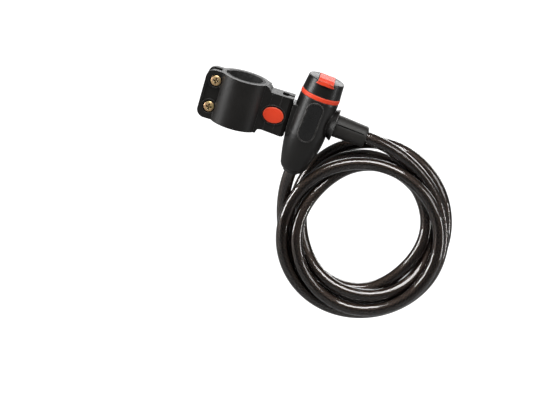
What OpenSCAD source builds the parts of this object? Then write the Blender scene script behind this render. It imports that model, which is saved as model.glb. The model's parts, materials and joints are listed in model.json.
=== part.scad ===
// Coil cable lock with its quick-release seat post bracket. Millimetres.
// The seat post axis is Z, the lock hangs on the +X side, and the button faces -Y.

/* [Seat post clamp] */
// Radius of the seat post that the clamp grips
post_r = 13.6; // [12.5:0.1:15]
// Thickness of the rubber liner
liner_t = 2.2; // [1.5:0.1:3]
// Wall of the two clamp halves
clamp_wall = 3.4; // [2.5:0.1:4]
// Height of the clamp along the post
clamp_h = 38.8; // [30:0.1:50]
// How far the clamp ears reach from the post axis
ear_reach = 29.8; // [28:0.1:34]
// Thickness of each ear
ear_t = 4.6; // [3.5:0.1:6]
// Gap between the two ears
ear_gap = 7.6; // [4:0.1:10]
// Distance between the two clamp screws
screw_pitch = 21.3; // [18:0.1:26]
// Radius of the clamp screws' thread
screw_r = 2; // [1.5:0.5:2.5]

/* [Holder block] */
// How much higher the block and the lock sit than the clamp's middle
rise = 2.8; // [1:0.1:4]
// Far face of the holder block
holder_x = 40.8; // [39:0.1:44]
// Half thickness of the holder block
holder_y = 9; // [8:0.1:11]
// Level of the block's top face above that height
holder_top = 12.5; // [10:0.1:15]
// Level of the block's bottom face from that height
holder_foot = -19.4; // [-20:0.1:-17]
// How far the release button is pressed
button_travel = 1.8; // [1.6:0.1:1.8]
// Width of the oval button
button_w = 16.4; // [14:0.1:17]
// Height of the oval button
button_h = 12.4; // [12:0.1:14]

/* [Lock] */
// Where the lock's axis crosses the level of the block's middle
lock_x = 57.9; // [56:0.1:60]
// Lean of the lock's axis away from the post
lock_lean = 4.5; // [0:0.5:5]
// Radius of the lock's barrel
lock_r = 15.65; // [15.5:0.05:16.5]
// Radius of the cap at its rim
cap_r = 14.3; // [14:0.1:14.6]
// Level of the cap's rim above the plug's axis
cap_top = 33.7; // [32:0.1:34]
// Level of the lock's lower end
lock_foot = -45; // [-47:0.5:-44]
// Radius of the key core
core_r = 5.5; // [5:0.1:5.6]
// How far the latch travels into the bolt's groove
latch_travel = 1.8; // [1.6:0.1:1.9]

/* [Plug and cable] */
// Diameter of the cable
cable_d = 10; // [8:1:10]
// Radius of the plug where it meets the lock
plug_r = 8.9; // [8:0.1:9.5]
// Radius of the plug at its cable end
plug_end_r = 8.3; // [7.5:0.1:8.5]
// Length of the plug's cover
plug_len = 25.8; // [20:0.1:28]

/* [Coil] */
// Inner radius of the coiled cable
coil_in = 44; // [42:1:46]
// Outer radius of the coiled cable
coil_out = 71; // [66:1:72]
// Thickness of the coiled cable along its axis
coil_t = 31; // [25:1:33]
// Tilt of the coil, its top away from the button side
coil_tilt = 12; // [8:1:16]

/* [Hidden] */
$fn = 64;
eps = 0.02;

black = "#26272a";
soft_black = "#1b1b1c";
orange = "#f0502d";
zinc = "#c9b271";
steel = "#b9bcc0";
cable_grey = "#3a3230";

// Clamp
bore_r = post_r + liner_t;
clamp_r = bore_r + clamp_wall;
ear_face = ear_gap / 2 + ear_t;
ear_corner = 6.5;
screw_mid = 0.9;
screw_x = -21.4;
counterbore_r = 5;
counterbore_d = 1.6;
screw_boss_r = 6.2;
ear_pocket_d = 1.1;
split_gap = 0.3;
hook_x = 18.6;
hook_w = 1.9;
hook_z = 15;

// Holder block: the T-slot that takes the tongue, the button's well and the catch chamber
slot_x = 31;
slot_head = 5.2;
slot_half = 4.8;
slot_neck = 2.15;
slot_floor = -16.5;
button_x = 28.6;
button_z = -4.1;
button_gap = 0.25;
button_face = -10.5;
button_back = -8;
well_floor = button_back + button_travel + 0.3;
dome_r = 60;
pusher_x = [24, 28.4];
pusher_z = [-6.4, -1];
chamber_y = 6.1;
leaf_y = 6.45;
leaf_t = 0.5;
leaf_x = [23.2, 35.6];
leaf_z = [-10.6, 11];
nose_z = [-10.2, -6.4];
nose_y = 3.7;
cover_t = 1.3;
chamfer_w = 3.2;
chamfer_d = 2.8;
rib_x = [23.8, 31.8];
rib_h = 0.5;
bezel_h = 0.7;
slot_corner = 2.2;
cover_screw_xz = [[24.2, -13.4], [38, -13.4]];

// Tongue of the lock, a fit in the T-slot
fit = 0.15;
tongue_top = 8.5;
tongue_foot = slot_floor;
pad_x = 41.1;
tongue_screw_yz = [[-5.8, -9], [5.8, -9], [-5.8, 4], [5.8, 4]];
tongue_screw_r = 1.1;
tongue_seat_x = pad_x + 0.8;

// Lock, in its own leaning frame with the axis on Z
taper_start = -14;
taper_end = -41.5;
taper_r = 10.4;
foot_r = 7.5;
taper_steps = 8;
ring_z = [18.1, 21.6];
cavity_r = 13.1;
cavity_foot = -18.2;
barrel_top = 28;
plug_z = 1.3;
socket_face = 19;
socket_r = 12.8;
sleeve_r = 7.6;
bolt_r = 4;
groove_r = 2;
groove_x = [2.2, 6.2];
core_foot = plug_z + 7.5;
core_top = 32.6;
keyway_foot = 12;
retainer_z = core_foot + 2.6;
latch_z = plug_z + 4.95;
cam_r = latch_travel / 2 * sqrt(2);
cam_pin_r = 1.1;
panel_w = 12;
panel_h = 31;
panel_gap = 0.2;
panel_depth = 0.6;
panel_rim = 0.8;
panel_rim_h = 0.4;
cover_w = 12.4;
channel_z = cap_top - 0.8;
hinge_y = 10.4;
hinge_z = cap_top - 1.3;
hinge_r = 1.2;
hinge_pin_r = 0.75;
lug_t = 1.7;
wafer_z = [13, 16, 19, 22, 25];
cable_x = -0.3;
cable_r = cable_d / 2;
gland_r = 6.2;
gland_top = -39;
anchor_pin_z = -22;

// Plug, about the X axis of the lock's frame
plug_x = socket_face + 0.2;
plug_end = plug_x + plug_len;
ferrule_x = [31.2, 41];

// Coil, placed by its centre; its tilt axis is level with the ground under the leaning post
coil_c = [123.2, 1.5, -71.2];
post_lean = 16.7;
lead_points = [[53.95, 0, -43.7], [53.7, 0.3, -47.2], [53.7, 1, -51.2], [54.2, 2, -56.2],
               [55.3, 3, -62.2], [56.6, 3.6, -68.2]];
tail_points = [[102.8, 0, 0.6], [107, 0, 0.2], [112.5, 0.3, -0.5], [119, 1.4, -1.7],
               [127, 3.4, -4], [134, 5.4, -7], [140, 7, -10.9]];
tube_sides = 10;

module raised() {
  translate([0, 0, rise])
    children();
}

module leaned() {
  translate([lock_x, 0, rise])
    rotate([0, lock_lean, 0])
      children();
}

// A prism of a profile drawn in X and Z, reaching from y0 to y1
module along_y(y0, y1) {
  translate([0, y1, 0])
    rotate([90, 0, 0])
      linear_extrude(y1 - y0)
        children();
}

// A round bar along X in the lock's frame, on the plug's axis
module on_plug_axis(x) {
  translate([x, 0, plug_z])
    rotate([0, 90, 0])
      children();
}

module block(low, high) {
  translate(low)
    cube(high - low);
}

module oval(w, h) {
  polygon([for (i = [0:47]) [w / 2 * cos(i * 7.5), h / 2 * sin(i * 7.5)]]);
}

module stadium(w, h) {
  for (s = [-1, 1])
    translate([0, s * (h - w) / 2])
      circle(d = w);
  square([w, h - w], center = true);
}

module rounded_box(w, h, r) {
  for (x = [-1, 1], y = [-1, 1])
    translate([x * (w / 2 - r), y * (h / 2 - r)])
      circle(r);
  square([w, h - 2 * r], center = true);
  square([w - 2 * r, h], center = true);
}

// ---- clamp ----

// An ear's outline in X and Z: round at its two free corners
module ear_outline() {
  x = ear_corner - ear_reach;
  for (s = [-1, 1])
    translate([x, s * (clamp_h / 2 - ear_corner)])
      circle(ear_corner);
  translate([-ear_reach, ear_corner - clamp_h / 2])
    square([ear_corner, clamp_h - 2 * ear_corner]);
  translate([x, -clamp_h / 2])
    square([-x - 8, clamp_h]);
}

// The shallow pocket in the front ear, between the two round screw bosses
module ear_pocket() {
  along_y(-ear_face - 1, ear_pocket_d - ear_face)
    difference() {
      translate([-22.1, screw_mid])
        rounded_box(11.4, 17, 2);
      for (s = [-1, 1])
        translate([screw_x, screw_mid + s * screw_pitch / 2])
          circle(screw_boss_r);
    }
}

// A round bar as tall as the clamp
module clamp_bar(r) {
  cylinder(r = r, h = clamp_h, center = true, $fn = 96);
}

module at_clamp_screws() {
  for (s = [-1, 1])
    translate([screw_x, 0, screw_mid + s * screw_pitch / 2])
      rotate([90, 0, 0])
        children();
}

// The block's outline in X and Z, from the clamp's top and bottom edges to its far face
module holder_outline() {
  top = clamp_h / 2 - rise;
  foot = -clamp_h / 2 - rise;
  polygon([[8, foot], [18.5, foot], [19.8, holder_foot + 0.6], [22.5, holder_foot + 1.2],
           [holder_x - 1.2, holder_foot], [holder_x, holder_foot + 1.2], [holder_x, holder_top],
           [22.9, holder_top], [22.1, holder_top + 0.5], [20.8, top - 2], [19.2, top - 0.6], [17.4, top],
           [8, top]]);
}

// The block's far front edge is cut back, below its top lip
module edge_cut() {
  translate([0, 0, -40])
    linear_extrude(40 + holder_top - 1)
      polygon([[holder_x - chamfer_w, -holder_y - 0.1], [holder_x + 1, -holder_y - 0.1],
               [holder_x + 1, chamfer_d - holder_y], [holder_x, chamfer_d - holder_y]]);
}

module front_ribs() {
  for (x = rib_x)
    block([x - 0.4, -holder_y - rib_h, holder_foot + 1.4], [x + 0.4, -holder_y + 1, holder_top - 1.2]);
}

// The raised rim around the button's well
module bezel() {
  translate([button_x, 0, button_z])
    along_y(-holder_y - bezel_h, -holder_y + 0.5)
      oval(button_w + 3.3, button_h + 3.3);
}

module bezel_mouth() {
  translate([button_x, 0, button_z])
    along_y(-holder_y - 2, -holder_y)
      oval(button_w + 1.7, button_h + 1.7);
}

module ring_bore() {
  translate([0, 0, -clamp_h])
    cylinder(r = bore_r, h = 2 * clamp_h);
}

module t_slot() {
  translate([slot_x + slot_head / 2, 0, slot_floor])
    linear_extrude(30 - slot_floor)
      rounded_box(slot_head, 2 * slot_half, slot_corner);
  block([slot_x + 1, -slot_neck, slot_floor], [holder_x + 1, slot_neck, 30]);
}

module button_well() {
  translate([button_x, 0, button_z])
    along_y(-holder_y - 1, well_floor)
      oval(button_w + 2 * button_gap, button_h + 2 * button_gap);
  block([pusher_x[0] - 0.3, well_floor - 1, pusher_z[0] - 0.3],
        [pusher_x[1] + 0.3, chamber_y + 1, pusher_z[1] + 0.3]);
}

module catch_chamber() {
  block([22.8, chamber_y, -11.4], [37.4, holder_y + 1, 11.6]);
  block([slot_x + 0.4, 0, nose_z[0] - 0.5], [slot_x + slot_head, chamber_y + 1, nose_z[1] + 0.5]);
}

module clamp_front() {
  color(black)
    difference() {
      union() {
        difference() {
          clamp_bar(clamp_r);
          block([-40, -split_gap, -40], [0, 40, 40]);
          block([-1, holder_y + 0.1, -40], [40, 40, 40]);
        }
        raised() {
          along_y(-holder_y, holder_y)
            holder_outline();
          front_ribs();
          bezel();
        }
        along_y(-ear_face, -ear_gap / 2)
          ear_outline();
      }
      ring_bore();
      raised() {
        block([hook_x - 0.4, holder_y - 2.1, -14.4], [hook_x + hook_w + 0.4, holder_y + 1, hook_z + 0.4]);
        t_slot();
        bezel_mouth();
        button_well();
        catch_chamber();
        edge_cut();
        for (p = cover_screw_xz)
          translate([p[0], holder_y - 5, p[1]])
            rotate([-90, 0, 0])
              cylinder(r = 0.9, h = 6, $fn = 24);
        translate([29.3, 4.5, 9])
          rotate([-90, 0, 0])
            cylinder(r = 0.8, h = 3, $fn = 24);
      }
      ear_pocket();
      at_clamp_screws() {
        cylinder(r = screw_r + 0.2, h = 60, center = true);
        translate([0, 0, ear_face - counterbore_d])
          cylinder(r = counterbore_r, h = 5);
      }
    }
}

module clamp_rear() {
  color(black)
    difference() {
      union() {
        difference() {
          clamp_bar(clamp_r);
          block([-40, -40, -40], [0, split_gap, 40]);
          block([-1, -40, -40], [40, holder_y + 0.35, 40]);
        }
        raised() {
          block([10, holder_y + 0.35, -14], [hook_x + hook_w, holder_y + 3.3, hook_z]);
          block([hook_x, holder_y - 1.7, -14], [hook_x + hook_w, holder_y + 1, hook_z]);
        }
        along_y(ear_gap / 2, ear_face)
          ear_outline();
      }
      ring_bore();
      at_clamp_screws() {
        cylinder(r = screw_r + 0.2, h = 60, center = true);
        translate([0, 0, -ear_face - 1])
          cylinder(r = 4.15, h = 3.6, $fn = 6);
      }
    }
}

module clamp_liner() {
  color(soft_black)
    difference() {
      clamp_bar(bore_r - eps);
      cylinder(r = post_r, h = clamp_h + 2, center = true, $fn = 96);
      block([-40, -ear_gap / 2, -40], [0, ear_gap / 2, 40]);
    }
}

// A pan head with a crossed recess, its thread running down -Z from the head's seat
module cross_screw(r, head_r, head_h, length) {
  difference() {
    union() {
      translate([0, 0, -length])
        cylinder(r = r, h = length + eps, $fn = 32);
      intersection() {
        cylinder(r = head_r, h = head_h);
        translate([0, 0, head_h - head_r * 1.9])
          sphere(head_r * 1.9);
      }
    }
    for (a = [0, 90])
      rotate([0, 0, a])
        translate([0, 0, head_h])
          cube([head_r * 1.2, head_r * 0.3, head_h * 1.3], center = true);
  }
}

module clamp_screws() {
  color(zinc)
    at_clamp_screws()
      translate([0, 0, ear_face - counterbore_d])
        cross_screw(screw_r, 4.1, 2.3, 17);
}

module clamp_nuts() {
  color(zinc)
    at_clamp_screws()
      translate([0, 0, -ear_face - 0.6])
        difference() {
          cylinder(r = 4.04, h = 3.2, $fn = 6);
          translate([0, 0, -1])
            cylinder(r = screw_r + eps, h = 6, $fn = 32);
        }
}

// ---- holder block's own pieces ----

module holder_cover() {
  color(black)
    raised()
      difference() {
        translate([30.9, 0, -1.6])
          along_y(holder_y + 0.05, holder_y + cover_t)
            rounded_box(17, 27.4, 2);
        for (p = cover_screw_xz)
          translate([p[0], holder_y - 1, p[1]])
            rotate([-90, 0, 0])
              cylinder(r = 1, h = 6, $fn = 24);
      }
}

module cover_screws() {
  color(zinc)
    raised()
      for (p = cover_screw_xz)
        translate([p[0], holder_y + cover_t + eps, p[1]])
          rotate([-90, 0, 0])
            cross_screw(0.85, 1.6, 0.9, 5);
}

// The sprung leaf: fixed at its top, its nose stands in the tongue's notch
module catch_spring() {
  color(steel)
    raised()
      difference() {
        union() {
          block([leaf_x[0], leaf_y, leaf_z[0]], [leaf_x[1], leaf_y + leaf_t, leaf_z[1]]);
          block([slot_x + 0.9, nose_y, nose_z[0]], [leaf_x[1], leaf_y + leaf_t, nose_z[1]]);
        }
        translate([29.3, 0, 9])
          rotate([-90, 0, 0])
            cylinder(r = 0.85, h = 20, $fn = 24);
      }
}

module catch_rivet() {
  color(zinc)
    translate([29.3, leaf_y + leaf_t + eps, 9 + rise])
      rotate([-90, 0, 0]) {
        translate([0, 0, -2.4])
          cylinder(r = 0.75, h = 2.5, $fn = 24);
        cylinder(r = 1.7, h = 0.9, $fn = 32);
      }
}

module release_button() {
  color(orange)
    raised() {
      intersection() {
        translate([button_x, 0, button_z])
          along_y(button_face - 1, button_back)
            oval(button_w, button_h);
        translate([button_x, button_face + dome_r, button_z])
          sphere(dome_r, $fn = 128);
      }
      block([pusher_x[0], button_back - eps, pusher_z[0]], [pusher_x[1], leaf_y - 0.05, pusher_z[1]]);
    }
}

// ---- lock ----

function taper(t) = [lock_r - (lock_r - taper_r) * pow(t, 1.5), taper_start + (taper_end - taper_start) * t];

module housing_shape(grow = 0) {
  rotate_extrude($fn = 96)
    polygon(concat(
      [[0, ring_z[0]], [lock_r - 0.3 + grow, ring_z[0]], [lock_r + grow, ring_z[0] - 1.5]],
      [for (i = [0:taper_steps]) taper(i / taper_steps) + [grow, 0]],
      [[9.1 + grow, -43.6], [foot_r + grow, lock_foot], [0, lock_foot - grow]]));
}

module lock_housing() {
  color(black)
    difference() {
      leaned()
        difference() {
          union() {
            housing_shape();
            on_plug_axis(6)
              cylinder(r1 = 5.5, r2 = socket_r, h = socket_face - 6.7);
            on_plug_axis(socket_face - 0.7 - eps)
              cylinder(r = socket_r, h = 0.7);
            panel_shape(panel_w + 2 * panel_rim, panel_h + 2 * panel_rim, lock_r - 1, lock_r + panel_rim_h);
          }
          translate([0, 0, cavity_foot])
            cylinder(r = cavity_r, h = 60);
          translate([cable_x, 0, gland_top + 0.02])
            cylinder(r = 6.9, h = 25);
          translate([cable_x, 0, lock_foot - 1])
            cylinder(r = gland_r, h = 12);
          on_plug_axis(8)
            cylinder(r = sleeve_r, h = 20);
          panel_recess();
          translate([cable_x, 0, anchor_pin_z])
            rotate([-90, 0, 0])
              cylinder(r = 1.25, h = 30, $fn = 24);
        }
      at_tongue_screws()
        translate([0, 0, -3])
          cylinder(r = tongue_screw_r + eps, h = 9, $fn = 24);
    }
}

module panel_shape(w, h, r0, r1) {
  intersection() {
    along_y(-20, 0)
      stadium(w, h);
    difference() {
      cylinder(r = r1, h = 60, center = true, $fn = 96);
      cylinder(r = r0, h = 62, center = true, $fn = 96);
    }
  }
}

module panel_recess() {
  panel_shape(panel_w, panel_h, lock_r - panel_depth, lock_r + 1);
}

module label_panel() {
  color(soft_black)
    leaned()
      panel_shape(panel_w - 2 * panel_gap, panel_h - 2 * panel_gap,
                  lock_r - panel_depth + eps, lock_r - 0.15);
}

module lock_barrel() {
  color(steel)
    leaned()
      difference() {
        translate([0, 0, cavity_foot + eps])
          cylinder(r = cavity_r - eps, h = barrel_top - cavity_foot);
        translate([0, 0, core_foot])
          cylinder(r = core_r + 0.05, h = 30);
        block([-4.2, -3.9, latch_z - 0.25], [6.4, 7, core_foot + eps]);
        block([groove_x[0], 1, plug_z - 3.7], [groove_x[1], 7, latch_z]);
        on_plug_axis(-2.6)
          cylinder(r = bolt_r + 0.1, h = 20);
        on_plug_axis(9)
          cylinder(r = sleeve_r, h = 20);
        translate([core_r + 0.3, -20, retainer_z])
          rotate([-90, 0, 0])
            cylinder(r = 0.8, h = 26, $fn = 24);
      }
}

module core_retaining_pin() {
  color(steel)
    leaned()
      translate([core_r + 0.3, -11.1, retainer_z])
        rotate([-90, 0, 0])
          cylinder(r = 0.8 - eps, h = 16.9, $fn = 24);
}

module red_ring() {
  color(orange)
    leaned()
      rotate_extrude($fn = 96)
        polygon([[cavity_r, ring_z[0] + eps], [lock_r - 0.2, ring_z[0] + eps], [lock_r + 0.05, ring_z[0] + 0.4],
                 [lock_r + 0.05, ring_z[1] - 0.4], [lock_r - 0.2, ring_z[1] - eps],
                 [cavity_r, ring_z[1] - eps]]);
}

module lock_cap() {
  color(black)
    leaned()
      difference() {
        rotate_extrude($fn = 96)
          polygon(concat(
            [[0, ring_z[1]], [15.1, ring_z[1]], [15.4, ring_z[1] + 0.4], [cap_r, cap_top - 0.7],
             [cap_r - 0.25, cap_top - 0.2]],
            [for (i = [0:5]) [(cap_r - 0.7) * (1 - i / 5), cap_top + 1.5 * (1 - pow(1 - i / 5, 2))]]));
        translate([0, 0, ring_z[1] - 1])
          cylinder(r = cavity_r, h = barrel_top - ring_z[1] + 1.04);
        cylinder(r = core_r + 0.2, h = 50);
        block([-cover_w / 2 - 0.2, -20, channel_z], [cover_w / 2 + 0.2, 20, 40]);
        block([-cover_w / 2 - 0.2, hinge_y, hinge_z - 0.4], [cover_w / 2 + 0.2, 20, 40]);
        translate([-cover_w / 2 - 0.2, hinge_y, hinge_z])
          rotate([0, 90, 0])
            cylinder(r = hinge_r + 0.25, h = cover_w + 0.4, $fn = 48);
        translate([-10, hinge_y, hinge_z])
          rotate([0, 90, 0])
            cylinder(r = hinge_pin_r + eps, h = 20, $fn = 32);
      }
}

module dust_cover_pin() {
  color(steel)
    leaned()
      translate([0, hinge_y, hinge_z])
        rotate([0, 90, 0])
          cylinder(r = hinge_pin_r, h = cover_w + 0.2 + 2 * lug_t, center = true, $fn = 32);
}

// The flap over the keyway: a crowned strip, its front lip hanging over the cap's rim
module dust_cover() {
  color(orange)
    leaned()
      difference() {
        union() {
          translate([-cover_w / 2, 0, 0])
            rotate([90, 0, 90])
              linear_extrude(cover_w)
                polygon([[hinge_y, channel_z + 0.2], [-14.4, channel_z + 0.2], [-16, cap_top - 0.2],
                         [-15.3, cap_top + 0.6], [-13.2, cap_top + 1.2], [-11.2, cap_top + 1.8],
                         [-10.4, cap_top + 1.2], [-5, cap_top + 1.6], [0, cap_top + 1.8],
                         [5, cap_top + 1.5], [8, cap_top + 1.1], [9.6, cap_top + 0.3], [hinge_y, cap_top - 0.1]]);
          intersection() {
            difference() {
              cylinder(r = 16.1, h = 40, $fn = 96);
              cylinder(r = 15, h = 41, $fn = 96);
            }
            along_y(-30, -5)
              polygon([[-6.2, cap_top + 0.6], [-6.4, cap_top - 1.2], [-7.5, cap_top - 2.7],
                       [7.5, cap_top - 2.7], [6.4, cap_top - 1.2], [6.2, cap_top + 0.6]]);
          }
          translate([-cover_w / 2, hinge_y, hinge_z])
            rotate([0, 90, 0])
              cylinder(r = hinge_r, h = cover_w, $fn = 48);
        }
        translate([-10, hinge_y, hinge_z])
          rotate([0, 90, 0])
            cylinder(r = hinge_pin_r + 0.05, h = 20, $fn = 32);
      }
}

module key_core() {
  color(zinc)
    leaned()
      difference() {
        union() {
          difference() {
            translate([0, 0, core_foot + eps])
              cylinder(r = core_r, h = core_top - core_foot - eps);
            translate([0, 0, retainer_z - 0.9])
              difference() {
                cylinder(r = core_r + 1, h = 1.8);
                translate([0, 0, -1])
                  cylinder(r = core_r - 0.7, h = 4);
              }
          }
          translate([cam_r * cos(45), cam_r * sin(45), latch_z + 0.15])
            cylinder(r = cam_pin_r, h = 3, $fn = 32);
        }
        block([-3.6, -0.8, keyway_foot], [3.6, 0.8, core_top + 1]);
        for (z = wafer_z)
          translate([0, 0, z])
            cube([8.8, 3.2, 0.9], center = true);
      }
}

module core_wafers() {
  color(zinc)
    leaned()
      for (z = wafer_z)
        translate([0, 0, z])
          difference() {
            cube([8.7, 3.1, 0.8], center = true);
            cube([6.6, 1.5, 2], center = true);
          }
}

// The latch: a plate under the core, turned into sideways travel by the core's cam pin
module latch() {
  color(steel)
    leaned()
      difference() {
        union() {
          block([-3.6, -1.7, latch_z], [groove_x[1] - 0.3, 6.4, latch_z + 2.15]);
          block([groove_x[0] + 0.3, bolt_r + 0.5, plug_z - 3.4], [groove_x[1] - 0.3, 6.4, latch_z + 0.5]);
        }
        block([-0.6, cam_r * sin(45) - cam_pin_r - 0.1, 0],
              [2.7, cam_r * sin(45) + cam_pin_r + 0.1, 9]);
      }
}

module socket_sleeve() {
  color(steel)
    leaned()
      on_plug_axis(9 + eps)
        difference() {
          cylinder(r = sleeve_r - eps, h = socket_face - 9.5);
          translate([0, 0, -1])
            cylinder(r = bolt_r + 0.1, h = 20);
        }
}

// ---- the tongue that hangs the lock in the bracket ----

module mount_tongue() {
  color(soft_black)
    difference() {
      raised() {
        translate([slot_x + (slot_head - 0.5) / 2, 0, tongue_foot])
          linear_extrude(tongue_top - 1 - tongue_foot)
            rounded_box(slot_head - 0.5 - 2 * fit, 2 * (slot_half - fit), slot_corner - fit);
        block([slot_x + 1, -slot_neck + fit, tongue_foot], [pad_x + 1, slot_neck - fit, tongue_top - 1]);
        block([pad_x, -8.2, -16], [46, 8.2, tongue_top]);
      }
      raised()
        block([slot_x, slot_half - fit - 1.3, nose_z[0] - 0.3],
              [slot_x + slot_head, slot_half, nose_z[1] + 0.3]);
      leaned()
        housing_shape(grow = eps);
      at_tongue_screws() {
        translate([0, 0, -8])
          cylinder(r = tongue_screw_r + 0.1, h = 12, $fn = 24);
        cylinder(r = 2, h = 4, $fn = 32);
      }
    }
}

// Each screw's head seat, its head toward the post
module at_tongue_screws() {
  for (p = tongue_screw_yz)
    translate([tongue_seat_x, p[0], p[1] + rise])
      rotate([0, -90, 0])
        children();
}

module tongue_screws() {
  color(zinc)
    at_tongue_screws()
      cross_screw(tongue_screw_r, 1.9, 0.8, 2.9);
}

// ---- cable's fixed end ----

module cable_anchor() {
  color(steel)
    leaned()
      translate([cable_x, 0, -37.5])
        difference() {
          cylinder(r = 6.85, h = 18);
          translate([0, 0, -1])
            cylinder(r = cable_r + 0.05, h = 13);
          translate([0, -4.1, anchor_pin_z + 37.5])
            rotate([-90, 0, 0])
              cylinder(r = 1.25, h = 30, $fn = 24);
        }
}

module anchor_pin() {
  color(steel)
    leaned()
      translate([cable_x, -4, anchor_pin_z])
        rotate([-90, 0, 0])
          cylinder(r = 1.22, h = 17.6, $fn = 24);
}

module cable_gland() {
  color(soft_black)
    leaned()
      translate([cable_x, 0, lock_foot - 1.4])
        difference() {
          union() {
            cylinder(r = gland_r - eps, h = gland_top - lock_foot + 1.4);
            cylinder(r1 = gland_r - 0.4, r2 = gland_r + 0.5, h = 1.38);
          }
          translate([0, 0, -1])
            cylinder(r = cable_r + 0.05, h = 20);
        }
}

// ---- plug ----

module plug_cover() {
  color(black)
    leaned()
      difference() {
        on_plug_axis(plug_x)
          rotate_extrude($fn = 96)
            polygon([[0, 0], [plug_r - 0.3, 0], [plug_r, 0.3], [plug_r, 3], [plug_end_r, plug_len - 1.6],
                     [plug_end_r - 0.4, plug_len - 0.7], [plug_end_r - 1.6, plug_len], [0, plug_len]]);
        on_plug_axis(plug_x - 1)
          cylinder(r = bolt_r + 0.02, h = 20);
        on_plug_axis(ferrule_x[0] - eps)
          cylinder(r = 6.05, h = ferrule_x[1] - ferrule_x[0] + 2 * eps);
        on_plug_axis(ferrule_x[1] - 1)
          cylinder(r = cable_r + 0.1, h = 20);
        // a fine parting groove along the upper front
        on_plug_axis(0)
          rotate([0, 0, -22])
            block([-0.5, -plug_r - 1, plug_x + 1], [0.5, 1 - plug_end_r, plug_end - 2.5]);
      }
}

module plug_bolt() {
  color(steel)
    leaned()
      on_plug_axis(-2)
        rotate_extrude($fn = 64)
          polygon([[0, 0], [2.4, 0], [bolt_r, 2.2], [bolt_r, groove_x[0] + 2], [groove_r, groove_x[0] + 2],
                   [groove_r, groove_x[1] + 2], [bolt_r, groove_x[1] + 2], [bolt_r, ferrule_x[0] + 2 - eps],
                   [0, ferrule_x[0] + 2 - eps]]);
}

module plug_ferrule() {
  color(steel)
    leaned()
      on_plug_axis(ferrule_x[0])
        difference() {
          cylinder(r = 6, h = ferrule_x[1] - ferrule_x[0]);
          translate([0, 0, 1.5])
            cylinder(r = cable_r + 0.05, h = 20);
        }
}

// ---- cable ----

// A tube swept along points: each ring stands square to the route there
module swept_tube(points, r) {
  n = len(points);
  function heading(i) = let (d = points[min(i + 1, n - 1)] - points[max(i - 1, 0)]) d / norm(d);
  function side(i) = let (s = cross(heading(i), [0, 1, 0])) s / norm(s);
  rings = [for (i = [0:n - 1]) for (k = [0:tube_sides - 1])
    let (a = 360 * k / tube_sides, s = side(i))
      points[i] + r * (cos(a) * s + sin(a) * cross(heading(i), s))];
  polyhedron(rings, concat(
    [[for (k = [0:tube_sides - 1]) k]],
    [for (i = [0:n - 2]) for (k = [0:tube_sides - 1])
      let (a = i * tube_sides, m = (k + 1) % tube_sides)
        [a + k, a + tube_sides + k, a + tube_sides + m, a + m]],
    [[for (k = [tube_sides - 1:-1:0]) (n - 1) * tube_sides + k]]));
}

module cable_lead() {
  color(cable_grey)
    swept_tube(lead_points, cable_r);
}

module cable_tail() {
  color(cable_grey)
    swept_tube(tail_points, cable_r);
}

module cable_coil() {
  color(cable_grey)
    difference() {
      translate(coil_c)
        rotate(a = -coil_tilt, v = [cos(post_lean), 0, sin(post_lean)])
          rotate([90, 0, 0])
            rotate_extrude($fn = 96)
              translate([(coil_in + coil_out) / 2, 0])
                rounded_box(coil_out - coil_in, coil_t, 5);
      leaned() {
        translate([0, 0, -40])
          cylinder(r = lock_r + 1, h = 60);
        translate([0, 0, -49])
          cylinder(r1 = 9.5, r2 = lock_r + 1, h = 9 + eps);
        on_plug_axis(10)
          cylinder(r = plug_r + 1.2, h = plug_end + 16);
      }
    }
}

clamp_front();
clamp_rear();
clamp_liner();
clamp_screws();
clamp_nuts();
holder_cover();
cover_screws();
catch_spring();
catch_rivet();
release_button();
lock_housing();
lock_barrel();
red_ring();
lock_cap();
label_panel();
mount_tongue();
tongue_screws();
socket_sleeve();
core_retaining_pin();
cable_anchor();
anchor_pin();
cable_gland();
dust_cover_pin();
dust_cover();
key_core();
core_wafers();
latch();
plug_cover();
plug_bolt();
plug_ferrule();
cable_lead();
cable_coil();
cable_tail();
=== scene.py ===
"""Coil cable lock in its seat post bracket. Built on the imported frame, in metres."""

import json
import math

import bpy
import numpy as np
from mathutils import Matrix, Vector


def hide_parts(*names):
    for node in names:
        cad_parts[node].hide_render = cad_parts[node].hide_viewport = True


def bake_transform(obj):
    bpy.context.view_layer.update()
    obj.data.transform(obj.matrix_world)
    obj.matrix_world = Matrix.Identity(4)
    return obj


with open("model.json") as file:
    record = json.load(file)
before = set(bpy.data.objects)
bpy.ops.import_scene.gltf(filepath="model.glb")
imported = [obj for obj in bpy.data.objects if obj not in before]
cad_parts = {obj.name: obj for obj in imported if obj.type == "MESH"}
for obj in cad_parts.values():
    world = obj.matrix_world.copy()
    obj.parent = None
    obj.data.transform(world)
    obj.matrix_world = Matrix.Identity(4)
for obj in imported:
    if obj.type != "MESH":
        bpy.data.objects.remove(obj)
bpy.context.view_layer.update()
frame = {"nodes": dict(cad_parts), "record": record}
MM = 0.001

# ---- cable route, in millimetres ----
CABLE_D = 10.0
BRAID_R = 4.35
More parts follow.
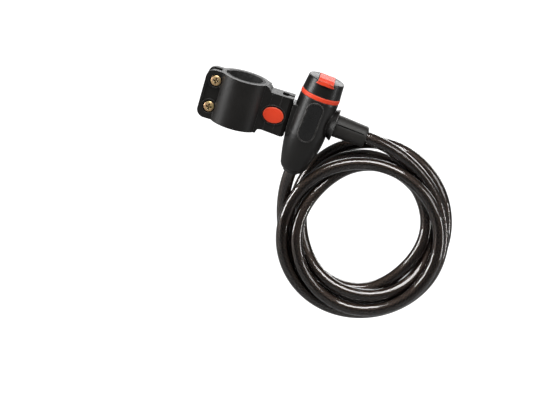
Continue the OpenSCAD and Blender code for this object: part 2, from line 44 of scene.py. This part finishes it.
# how much higher the lock sits than the clamp's middle
RISE = 2.8
COIL_C = np.array([123.2, 1.5, -71.2])
LEAN, TILT, LOCK_LEAN = math.radians(16.7), math.radians(12), math.radians(4.5)
COIL_U = np.array([math.cos(LEAN), 0, math.sin(LEAN)])
UPRIGHT = np.array([-math.sin(LEAN), 0, math.cos(LEAN)])
AWAY = np.array([0.0, 1.0, 0.0])
COIL_V = math.cos(TILT) * UPRIGHT + math.sin(TILT) * AWAY
COIL_N = math.cos(TILT) * AWAY - math.sin(TILT) * UPRIGHT
LOCK_X = 57.9
LOCK_UP = np.array([math.sin(LOCK_LEAN), 0, math.cos(LOCK_LEAN)])
PLUG_OUT = np.array([math.cos(LOCK_LEAN), 0, -math.sin(LOCK_LEAN)])
LOCK_C = np.array([LOCK_X, 0, RISE])
PLUG_Z = 1.3
# the bodies that the cable lies beside: radius, and where each starts and ends on its own axis
BARREL_R, BARREL_FROM, BARREL_TO = 16.2, -42, 40
PLUG_R, PLUG_FROM, PLUG_TO = 9.1, 5, 43
TAPER_FROM, TAPER_LENGTH, TAPER_IN = -14, 27.5, 5.2
CLEARANCE = 0.5
# the stretches held still at the lock and at the plug, and the stretch that counts as one strand
HELD_AT_LOCK, HELD_AT_PLUG, SAME_STRAND = 9, 20, 34
LEAD = [[53.95, 0, -43.7], [53.7, 0.3, -47.2], [53.7, 1, -51.2], [54.2, 2, -56.2], [55.3, 3, -62.2],
        [56.6, 3.6, -68.2]]
TAIL = [[102.8, 0, 0.6], [107, 0, 0.2], [112.5, 0.3, -0.5], [119, 1.4, -1.7], [127, 3.4, -4],
        [134, 5.4, -7], [140, 7, -10.9]]
# quarter turns from the left side on, counted through the bottom, with the radius and the depth there
FRONT, MIDDLE, BACK = -9.5, 0.8, 11.2
TURNS = [
    (0, 65.1, MIDDLE), (1, 61, BACK), (2, 64.9, BACK), (3, 67.8, BACK),
    (4, 57.3, BACK), (5, 50.6, MIDDLE), (6, 50.8, MIDDLE), (7, 57.6, MIDDLE),
    (8, 50, MIDDLE), (9, 53, FRONT), (10, 53, BACK), (11, 50.3, BACK),
    (12, 53.4, FRONT), (13, 65.2, FRONT), (14, 59.2, FRONT), (15, 51.7, FRONT),
    (16, 64.9, FRONT), (16.5, 69.6, FRONT / 2), (17, 68.1, MIDDLE), (18, 62.6, MIDDLE),
    (18.3, 62.2, MIDDLE),
]


def along(knots, at):
    """A smooth curve through the knots' values, read at the given places."""
    k = np.array(knots, float)
    x, y = k[:, 0], k[:, 1:]
    slope = np.gradient(y, x, axis=0)
    i = np.clip(np.searchsorted(x, at, side="right") - 1, 0, len(x) - 2)
    h = (x[i + 1] - x[i])[:, None]
    t = (at - x[i])[:, None] / h
    return ((2 * t ** 3 - 3 * t ** 2 + 1) * y[i] + (t ** 3 - 2 * t ** 2 + t) * h * slope[i]
            + (3 * t ** 2 - 2 * t ** 3) * y[i + 1] + (t ** 3 - t ** 2) * h * slope[i + 1])


def evenly(points, step):
    """The same line with points a step apart."""
    gaps = np.linalg.norm(np.diff(points, axis=0), axis=1)
    at = np.concatenate([[0], np.cumsum(gaps)])
    n = int(round(at[-1] / step))
    s = np.linspace(0, at[-1], n + 1)
    return np.stack([np.interp(s, at, points[:, i]) for i in range(3)], axis=1)


def coil_point(angle, radius, depth):
    """A point on the leaning coil: angle from its right side, and depth away from the camera."""
    return COIL_C + radius * (math.cos(angle) * COIL_U + math.sin(angle) * COIL_V) + depth * COIL_N


def first_route():
    """The lead, the coil's turns and the tail, before the strands are pushed apart."""
    at = np.arange(0.12, 18.2, 1 / 24)
    coil = [coil_point(math.pi + 0.5 * math.pi * q, r, d) for q, (r, d) in zip(at, along(TURNS, at))]
    return np.vstack([np.array(LEAD[:-1], float), np.array(coil), np.array(TAIL[::-1], float)])


def keep_out(p):
    """How far points have to move to clear the lock's body and the plug, by a cable's radius."""
    push = np.zeros_like(p)
    rel = p - LOCK_C
    for axis, low, high, wide in ((LOCK_UP, BARREL_FROM, BARREL_TO, BARREL_R),
                                  (PLUG_OUT, PLUG_FROM, PLUG_TO, PLUG_R)):
        base = rel - (PLUG_Z * LOCK_UP if axis is PLUG_OUT else 0)
        reach = base @ axis
        off = base - reach[:, None] * axis
        size = np.linalg.norm(off, axis=1)
        room = wide + CABLE_D / 2 + CLEARANCE
        if axis is LOCK_UP:
            room = room - np.clip((TAPER_FROM - reach) / TAPER_LENGTH, 0, 1) ** 1.5 * TAPER_IN
        inside = (reach > low) & (reach < high) & (size < room)
        push[inside] += off[inside] / np.maximum(size[inside], 1e-6)[:, None] * (room - size)[inside, None]
    return push


def smooth(p, free, rounds, amount):
    """Bends evened out along the line, where it is free to move."""
    for _ in range(rounds):
        lap = np.zeros_like(p)
        lap[2:-2] = (-p[:-4] + 4 * p[1:-3] - 6 * p[2:-2] + 4 * p[3:-1] - p[4:]) / 16
        p = p + free * lap * amount
    return p


def settle(p, rounds, step, homing, polish):
    """Strands pushed apart to a cable's width and smoothed, near where they started, both ends held."""
    n = len(p)
    home = p.copy()
    idx = np.arange(n)
    fixed = np.zeros(n)
    fixed[:int(round(HELD_AT_LOCK / step))] = 1
    fixed[-int(round(HELD_AT_PLUG / step)):] = 1
    free = (1 - fixed)[:, None]
    far = np.abs(idx[:, None] - idx[None, :]) < SAME_STRAND / step
    want = math.hypot(CABLE_D + 0.2, 0.35 * step)
    for r in range(rounds):
        d = p[:, None, :] - p[None, :, :]
        dist = np.linalg.norm(d, axis=2)
        dist[far] = 1e3
        w = np.where(dist < want, (want - dist) / np.maximum(dist, 1e-6), 0)
        move = 0.5 * np.einsum("ij,ijk->ik", w, d) / np.maximum((dist < want).sum(1), 1)[:, None]
        p = p + free * move * 0.9
        p = p + free * keep_out(p) * 0.7
        p = smooth(p, free, polish, 0.9)
        p = p + free * homing * max(0, 1 - r / (0.8 * rounds)) * (home - p)
    return p


# ---- camera ----
def camera():
    """It looks along +Y from a little above, rolled so that the seat post leans."""
    elevation, roll, distance = math.radians(18), math.radians(16.7), 1.2
    ahead = Vector((0, math.cos(elevation), -math.sin(elevation)))
    level, up = Vector((1, 0, 0)), Vector((0, math.sin(elevation), math.cos(elevation)))
    right = math.cos(roll) * level + math.sin(roll) * up
    top = -math.sin(roll) * level + math.cos(roll) * up
    aim_right, aim_down = 0.0226, 0.0836
    target = aim_right * right - aim_down * top + Vector((0, 0, RISE * MM))
    data = bpy.data.cameras.new("camera")
    data.sensor_width, data.lens = 36, 102.8
    data.clip_start, data.clip_end = 0.05, 60
    cam = bpy.data.objects.new("camera", data)
    bpy.context.scene.collection.objects.link(cam)
    m = Matrix((right, top, -ahead)).transposed().to_4x4()
    m.translation = target - ahead * distance
    cam.matrix_world = m
    bpy.context.scene.camera = cam


camera()


# ---- small tools ----
def link(name, mesh):
    """An object made from a mesh and put in the scene."""
    o = bpy.data.objects.new(name, mesh)
    bpy.context.scene.collection.objects.link(o)
    return o


def frames(p):
    """Headings and two square directions along a line, with the least twist."""
    t = np.gradient(p, axis=0)
    t /= np.linalg.norm(t, axis=1)[:, None]
    a = np.zeros_like(p)
    first = np.cross(t[0], [0, 1, 0])
    a[0] = first / np.linalg.norm(first)
    for i in range(1, len(p)):
        v = a[i - 1] - t[i] * (a[i - 1] @ t[i])
        a[i] = v / np.linalg.norm(v)
    return t, a, np.cross(t, a)


class Mesh:
    """Gathers vertices, faces, UVs and material indices for one object."""

    def __init__(self):
        self.v, self.f, self.uv, self.m, self.n = [], [], [], [], 0

    def grid(self, rings, uv, material=0, closed=True, capped=False):
        """rings is rows x sides x 3; uv is rows x (sides + 1) x 2."""
        rows, sides = rings.shape[:2]
        base = self.n
        self.v.append(rings.reshape(-1, 3))
        self.n += rows * sides
        last = sides if closed else sides - 1
        for i in range(rows - 1):
            for k in range(last):
                k1 = (k + 1) % sides
                self.f.append((base + i * sides + k, base + i * sides + k1,
                               base + (i + 1) * sides + k1, base + (i + 1) * sides + k))
                self.uv += [uv[i, k], uv[i, k + 1], uv[i + 1, k + 1], uv[i + 1, k]]
                self.m.append(material)
        if capped:
            for i, order in ((0, -1), (rows - 1, 1)):
                face = [base + i * sides + k for k in range(sides)][::order]
                self.f.append(tuple(face))
                self.uv += [uv[i, 0]] * sides
                self.m.append(material)

    def make(self, name, materials=(), smooth=True):
        mesh = bpy.data.meshes.new(name)
        mesh.from_pydata(np.vstack(self.v).tolist(), [], self.f)
        layer = mesh.uv_layers.new(name="Along")
        layer.data.foreach_set("uv", np.array(self.uv, np.float32).ravel())
        for m in materials:
            mesh.materials.append(m)
        mesh.polygons.foreach_set("material_index", self.m)
        mesh.polygons.foreach_set("use_smooth", [smooth] * len(self.f))
        mesh.update()
        return link(name, mesh)


# ---- materials ----
class Nodes:
    """A short way to write one material's nodes."""

    def __init__(self, name):
        self.mat = bpy.data.materials.new(name)
        self.mat.use_nodes = True
        self.tree = self.mat.node_tree
        self.tree.nodes.clear()
        self.out = self.add("ShaderNodeOutputMaterial")

    def add(self, kind, **values):
        n = self.tree.nodes.new(kind)
        for k, v in values.items():
            if k.startswith("s_"):
                setattr(n, k[2:], v)
        for k, v in values.items():
            if not k.startswith("s_"):
                self.put(n.inputs[int(k[1:])] if k[0] == "i" and k[1:].isdigit()
                         else n.inputs[k.replace("_", " ")], v)
        return n

    def put(self, socket, v):
        if isinstance(v, bpy.types.NodeSocket):
            self.tree.links.new(v, socket)
        else:
            socket.default_value = v

    def coords(self):
        return self.add("ShaderNodeTexCoord").outputs["Object"]

    def noise(self, scale, detail=3.0, where=None):
        return self.add("ShaderNodeTexNoise", Vector=where or self.coords(), Scale=scale, Detail=detail,
                        Roughness=0.55).outputs["Fac"]

    def voronoi(self, scale):
        return self.add("ShaderNodeTexVoronoi", s_feature="F1", Vector=self.coords(),
                        Scale=scale).outputs["Distance"]

    def remap(self, v, low, high, to_low, to_high):
        return self.add("ShaderNodeMapRange", Value=v, From_Min=low, From_Max=high, To_Min=to_low,
                        To_Max=to_high).outputs[0]

    def math(self, op, a, b=0.0, c=0.0, clamp=False):
        return self.add("ShaderNodeMath", s_operation=op, s_use_clamp=clamp, i0=a, i1=b, i2=c).outputs[0]

    def mix(self, fac, a, b):
        n = self.add("ShaderNodeMix", s_data_type="RGBA")
        self.put(n.inputs[0], fac)
        self.put(n.inputs[6], (*a, 1) if isinstance(a, tuple) else a)
        self.put(n.inputs[7], (*b, 1) if isinstance(b, tuple) else b)
        return n.outputs[2]

    def bump(self, height, strength, distance, normal=None):
        n = self.add("ShaderNodeBump", Strength=strength, Distance=distance, Height=height)
        if normal is not None:
            self.put(n.inputs["Normal"], normal)
        return n.outputs[0]

    def soft_edges(self, radius):
        return self.add("ShaderNodeBevel", s_samples=4, Radius=radius).outputs[0]

    def edge_mask(self, bevel, low=0.02, high=0.25):
        """1 on an edge and 0 on a face, from how far the bevelled normal turns."""
        g = self.add("ShaderNodeNewGeometry").outputs["Normal"]
        d = self.add("ShaderNodeVectorMath", s_operation="DOT_PRODUCT", i0=bevel, i1=g).outputs["Value"]
        return self.remap(self.math("SUBTRACT", 1.0, d), low, high, 0.0, 1.0)

    def recess_painted_shade(self, reach, low=0.25, high=0.9, dark=0.2):
        """Painted shade from ambient occlusion: 1 in the open, and down to dark in a recess."""
        ao = self.add("ShaderNodeAmbientOcclusion", s_samples=6, Distance=reach).outputs["AO"]
        return self.remap(ao, low, high, dark, 1.0)

    def shade(self, colour, factor):
        return self.add("ShaderNodeVectorMath", s_operation="SCALE", i0=colour, Scale=factor).outputs[0]

    def shader(self, **values):
        p = self.add("ShaderNodeBsdfPrincipled")
        for k, v in values.items():
            s = p.inputs[k.replace("_", " ")]
            if isinstance(v, tuple) and len(v) == 3 and s.type == "RGBA":
                v = (*v, 1)
            self.put(s, v)
        self.tree.links.new(p.outputs[0], self.out.inputs[0])
        return p


def moulded(name, dark, light, rough, grain, depth, edge=(0.16, 0.155, 0.15), bevel=0.5, edge_wear_and_highlight=0.5,
            shine=0.5, recess_shade_level=0.35):
    """Moulded plastic: fine spark grain, a little flow variation, edges made paler (part rub wear, part
    painted highlight) and painted shade in recesses.
    """
    n = Nodes(name)
    soft = n.soft_edges(bevel * MM)
    # Paler edges: part rub wear, part a painted highlight along the rounded edges.
    rub_and_edge_highlight = n.math("MULTIPLY", n.edge_mask(soft, 0.01, 0.14), n.remap(n.noise(260.0), 0.35, 0.7, 0.3, 0.9),
                 clamp=True)
    flow = n.remap(n.noise(38.0, 4.0), 0.3, 0.7, 0.0, 1.0)
    fine = n.noise(grain, 2.0)
    cells = n.voronoi(grain * 0.9)
    height = n.math("MULTIPLY_ADD", cells, 0.6, fine)
    colour = n.mix(n.math("MULTIPLY", rub_and_edge_highlight, edge_wear_and_highlight), n.mix(flow, dark, light), edge)
    # Painted shade in recesses, seams and pockets; the recess setting is how dark it goes.
    colour = n.shade(colour, n.recess_painted_shade(2.5 * MM, 0.3, 0.85, recess_shade_level))
    gloss = n.math("ADD", n.remap(flow, 0, 1, rough - 0.05, rough + 0.06),
                   n.remap(fine, 0.3, 0.7, -0.04, 0.05))
    n.shader(Base_Color=colour, Roughness=gloss, Normal=n.bump(height, 0.35, depth * MM, soft),
             Specular_IOR_Level=shine)
    return n.mat


def machined(name, base, alt, rough, lines, bevel=0.12, metal=1.0):
    """Plated or turned metal: fine turning lines, blotches of the finish, brighter edges and painted shade
    in recesses.
    """
    n = Nodes(name)
    soft = n.soft_edges(bevel * MM)
    streak = n.noise(900.0, 2.0, where=n.add("ShaderNodeMapping", Vector=n.coords(),
                                             Scale=(1.0, 1.0, lines)).outputs[0])
    blotch = n.remap(n.noise(420.0, 5.0), 0.35, 0.65, 0.0, 1.0)
    edge = n.edge_mask(soft)
    colour = n.mix(n.math("MULTIPLY", edge, 0.4), n.mix(blotch, base, alt), (0.9, 0.88, 0.84))
    # Painted shade in recesses such as a screw's cross.
    colour = n.shade(colour, n.recess_painted_shade(1.6 * MM, 0.42, 0.92, 0.04))
    gloss = n.math("ADD", n.remap(streak, 0.3, 0.7, rough - 0.06, rough + 0.08),
                   n.math("MULTIPLY", blotch, 0.06))
    n.shader(Base_Color=colour, Metallic=metal, Roughness=gloss,
             Normal=n.bump(streak, 0.2, 0.02 * MM, soft))
    return n.mat


def rubber_like(name, colour):
    n = Nodes(name)
    soft = n.soft_edges(0.3 * MM)
    dust = n.remap(n.noise(600.0, 5.0), 0.45, 0.75, 0.0, 1.0)
    n.shader(Base_Color=n.mix(n.math("MULTIPLY", dust, 0.35), colour, (0.09, 0.088, 0.085)),
             Roughness=n.remap(dust, 0, 1, 0.62, 0.8), Normal=n.bump(n.noise(2500.0), 0.4, 0.05 * MM, soft))
    return n.mat


def braid():
    """The steel braid under the jacket: two sets of strands that cross, dark with brown and pale specks,
    with painted shade, near black, in the gaps between strands.
    """
    n = Nodes("cable_braid")
    uv = n.add("ShaderNodeUVMap", s_uv_map="Along").outputs[0]
    xyz = n.add("ShaderNodeSeparateXYZ", Vector=uv)
    u, v = xyz.outputs[0], xyz.outputs[1]
    turns = 10.0

    def strands(sign):
        phase = n.math("MULTIPLY_ADD", v, sign * turns * 0.8, n.math("MULTIPLY", u, turns))
        return n.math("ABSOLUTE", n.math("SINE", n.math("MULTIPLY", phase, math.pi)))

    one, two = strands(1.0), strands(-1.0)
    over = n.math("GREATER_THAN", one, two)
    height = n.math("MAXIMUM", one, two)
    turned = n.math("MULTIPLY_ADD", v, 46.0, n.math("MULTIPLY", u, 40.0))
    wire = n.math("SINE", n.math("MULTIPLY", turned, math.pi))
    speck = n.voronoi(1500.0)
    tone = n.math("MULTIPLY_ADD", n.remap(speck, 0.1, 0.6, 1.0, 0.0), 0.6,
                  n.math("MULTIPLY", n.remap(wire, -1, 1, 0, 1), 0.25))
    deep = n.mix(over, (0.010, 0.0078, 0.0068), (0.022, 0.0155, 0.0125))
    colour = n.mix(n.math("MULTIPLY", tone, height, clamp=True), deep, (0.25, 0.165, 0.125))
    # Painted shade: the gaps between the strands made near black.
    colour = n.mix(n.math("LESS_THAN", height, 0.5), colour, (0.004, 0.0033, 0.003))
    n.shader(Base_Color=colour, Metallic=0.35, Roughness=n.remap(speck, 0, 0.7, 0.3, 0.5),
             Normal=n.bump(n.math("MULTIPLY_ADD", wire, 0.1, height), 0.7, 0.25 * MM))
    return n.mat


def clear_jacket():
    """Clear smoky sheath: it shows the braid through it, with a hard gloss and paler rims."""
    n = Nodes("cable_jacket")
    rim = n.add("ShaderNodeLayerWeight", Blend=0.32).outputs["Facing"]
    smear = n.noise(160.0, 4.0)
    body = n.add("ShaderNodeBsdfTransparent", Color=(0.82, 0.79, 0.76, 1))
    gloss = n.add("ShaderNodeBsdfGlossy", Color=(1, 1, 1, 1),
                  Roughness=n.remap(smear, 0.3, 0.7, 0.06, 0.10),
                  Normal=n.bump(n.noise(120.0, 2.0), 0.05, 0.1 * MM))
    fresnel = n.add("ShaderNodeFresnel", IOR=1.5).outputs[0]
    share = n.math("ADD", n.math("MULTIPLY", fresnel, 1.9), n.remap(rim, 0.55, 1.0, 0.0, 0.2), clamp=True)
    mixed = n.add("ShaderNodeMixShader", i0=share, i1=body.outputs[0], i2=gloss.outputs[0])
    n.tree.links.new(mixed.outputs[0], n.out.inputs[0])
    return n.mat


# In these plastics, edge= and the amount of paling after it make the edges paler, part rub wear and part
# painted highlight; the recess setting at the end is how dark the painted shade in recesses goes, lower
# being darker.
BRACKET = moulded("bracket_plastic", (0.0050, 0.0044, 0.0038), (0.0078, 0.0069, 0.0060), 0.43, 1500.0, 0.10,
                  shine=0.44)
LOCK = moulded("lock_plastic", (0.0056, 0.0051, 0.0045), (0.0084, 0.0077, 0.0069), 0.34, 1900.0, 0.05,
               edge=(0.30, 0.29, 0.28), bevel=0.6, edge_wear_and_highlight=0.8, recess_shade_level=0.5)
PLUG = moulded("plug_plastic", (0.0135, 0.0125, 0.011), (0.0185, 0.017, 0.015), 0.46, 1900.0, 0.05,
               edge=(0.16, 0.155, 0.15), bevel=0.4, edge_wear_and_highlight=0.6, recess_shade_level=0.06)
PANEL = moulded("panel_plastic", (0.004, 0.004, 0.004), (0.006, 0.006, 0.006), 0.24, 5200.0, 0.012,
                edge=(0.5, 0.49, 0.47), bevel=0.7, edge_wear_and_highlight=0.9, shine=0.8, recess_shade_level=0.9)
ORANGE = moulded("orange_plastic", (0.76, 0.050, 0.015), (0.82, 0.060, 0.018), 0.46, 3000.0, 0.02,
                 edge=(1.0, 0.36, 0.24), bevel=1.0, edge_wear_and_highlight=0.7, shine=0.4, recess_shade_level=0.7)
RUBBER = rubber_like("rubber", (0.018, 0.018, 0.018))
ZINC = machined("zinc_plate", (0.84, 0.66, 0.30), (0.72, 0.43, 0.25), 0.20, 14.0, metal=0.72)
STEEL = machined("steel", (0.62, 0.63, 0.65), (0.50, 0.51, 0.53), 0.28, 20.0)
CAST = machined("die_cast_zinc", (0.40, 0.40, 0.41), (0.30, 0.30, 0.32), 0.45, 2.0)
BRASS = machined("brass", (0.78, 0.58, 0.26), (0.66, 0.48, 0.22), 0.32, 10.0)
SLOTS = {"bracket_plastic": BRACKET, "lock_plastic": LOCK, "panel_plastic": PANEL, "orange_plastic": ORANGE,
         "rubber": RUBBER, "zinc_plate": ZINC, "steel": STEEL, "die_cast_zinc": CAST, "brass": BRASS}
JACKET, BRAID = clear_jacket(), braid()

for sub in frame["record"]["subparts"]:
    node = frame["nodes"][sub["node"]]
    for s in node.material_slots:
        s.link = "OBJECT"
        s.material = PLUG if sub["node"] == "plug_cover" else SLOTS.get(sub["material_slot"], RUBBER)


# ---- cable ----
def cable_line():
    """The centreline in metres, from inside the gland to inside the plug."""
    p = settle(evenly(first_route(), 6.0), 260, 6.0, 0.02, 5)
    x = np.arange(len(p))
    p = along(np.column_stack([x, p]), np.linspace(0, len(p) - 1, 2 * len(p) - 1))
    p = settle(evenly(p, 3.0), 160, 3.0, 0.01, 5)
    return np.vstack([p[0] + LOCK_UP * 4, p, p[-1] - PLUG_OUT * 5]) * MM


def cable():
    """The whole cable as a clear jacket over its braid."""
    p = cable_line()
    _, a, b = frames(p)
    s = np.concatenate([[0], np.cumsum(np.linalg.norm(np.diff(p, axis=0), axis=1))])
    made = Mesh()
    jacket_sides, braid_sides = 24, 20
    for sides, radius, material in ((jacket_sides, CABLE_D / 2, 0), (braid_sides, BRAID_R, 1)):
        t = np.arange(sides) * 2 * math.pi / sides
        ring = radius * MM * (np.cos(t)[None, :, None] * a[:, None] + np.sin(t)[None, :, None] * b[:, None])
        uv = np.zeros((len(p), sides + 1, 2))
        uv[:, :, 0] = np.arange(sides + 1) / sides
        uv[:, :, 1] = (s / (math.pi * CABLE_D * MM))[:, None]
        made.grid(p[:, None] + ring, uv, material, capped=True)
    o = made.make("cable", (JACKET, BRAID))
    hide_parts("cable_lead", "cable_coil", "cable_tail")
    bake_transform(o)
    # a weight along the cable's own length that rises over its last stretch before the plug; it is not
    # applied to anything
    bend_from, bend_length = s[-1] - 0.150, 0.135
    w = np.clip((s - bend_from) / bend_length, 0, 1)
    w = w * w * (3 - 2 * w)


cable()


def catch_leaf():
    """The catch spring made again in rows, in place of the imported one; the real spring bends back below
    its rivet under the button.
    """
    made = Mesh()
    leaf = ((23.2, 35.6), (6.45, 6.95), (-10.6, 11.0), 28)
    nose = ((31.9, 35.6), (3.7, 6.95), (-10.2, -6.4), 5)
    for x, y, z, rows in (leaf, nose):
        corners = np.array([(x[0], y[0]), (x[1], y[0]), (x[1], y[1]), (x[0], y[1])])
        heights = np.linspace(z[0], z[1], rows) + RISE
        rings = np.array([[(*c, h) for c in corners] for h in heights]) * MM
        made.grid(rings, np.zeros((rows, 5, 2)), capped=True)
    o = made.make("catch_leaf", (STEEL,), smooth=False)
    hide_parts("catch_spring")
    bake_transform(o)


catch_leaf()


# ---- floor and light ----
def floor():
    """A white sweep; it shows white, and sends less light back up than it shows."""
    made = Mesh()
    floor_z = -0.34
    size = np.linspace(-14, 14, 9)
    rings = np.array([[(x, y, floor_z) for x in size] for y in size])
    made.grid(rings, np.zeros((9, 10, 2)), closed=False)
    n = Nodes("floor")
    n.shader(Base_Color=n.mix(n.noise(3.0, 4.0), (0.24, 0.24, 0.24), (0.27, 0.27, 0.27)), Roughness=0.8)
    plain = n.out.inputs[0].links[0].from_socket
    shown = n.add("ShaderNodeLightPath").outputs["Is Camera Ray"]
    white = n.add("ShaderNodeEmission", Color=(1, 1, 1, 1), Strength=1.0)
    both = n.add("ShaderNodeAddShader", i0=plain, i1=white.outputs[0])
    pick = n.add("ShaderNodeMixShader", i0=shown, i1=plain, i2=both.outputs[0])
    n.tree.links.new(pick.outputs[0], n.out.inputs[0])
    made.make("floor", (n.mat,))


def lamp(name, place, size, radiance):
    """A white soft box aimed at the lock: radiance is how bright its face is, white being 1."""
    data = bpy.data.lights.new(name, "AREA")
    data.shape = "RECTANGLE"
    data.size, data.size_y = size
    data.energy = radiance * math.pi * size[0] * size[1]
    o = bpy.data.objects.new(name, data)
    bpy.context.scene.collection.objects.link(o)
    o.location = Vector(place)
    o.rotation_euler = (AIM - Vector(place)).to_track_quat("-Z", "Y").to_euler()


floor()
AIM = Vector((0.08, 0, -0.02))
lamp("top_light", (-0.15, -0.7, 1.1), (1.0, 0.65), 8.4)
lamp("left_light", (-1.4, -0.45, 0.12), (0.6, 0.85), 10.0)
lamp("back_light", (0.3, 2.4, 0.95), (3.0, 1.1), 3.2)
lamp("right_light", (1.6, -0.3, 0.25), (0.25, 0.9), 9.0)
lamp("high_right_light", (1.1, -0.8, 1.0), (0.8, 0.6), 3.4)
world = bpy.data.worlds.new("studio")
bpy.context.scene.world = world
world.use_nodes = True
world.node_tree.nodes["Background"].inputs[0].default_value = (1, 1, 1, 1)
world.node_tree.nodes["Background"].inputs[1].default_value = 0.1
bpy.context.scene.view_settings.view_transform = "Standard"
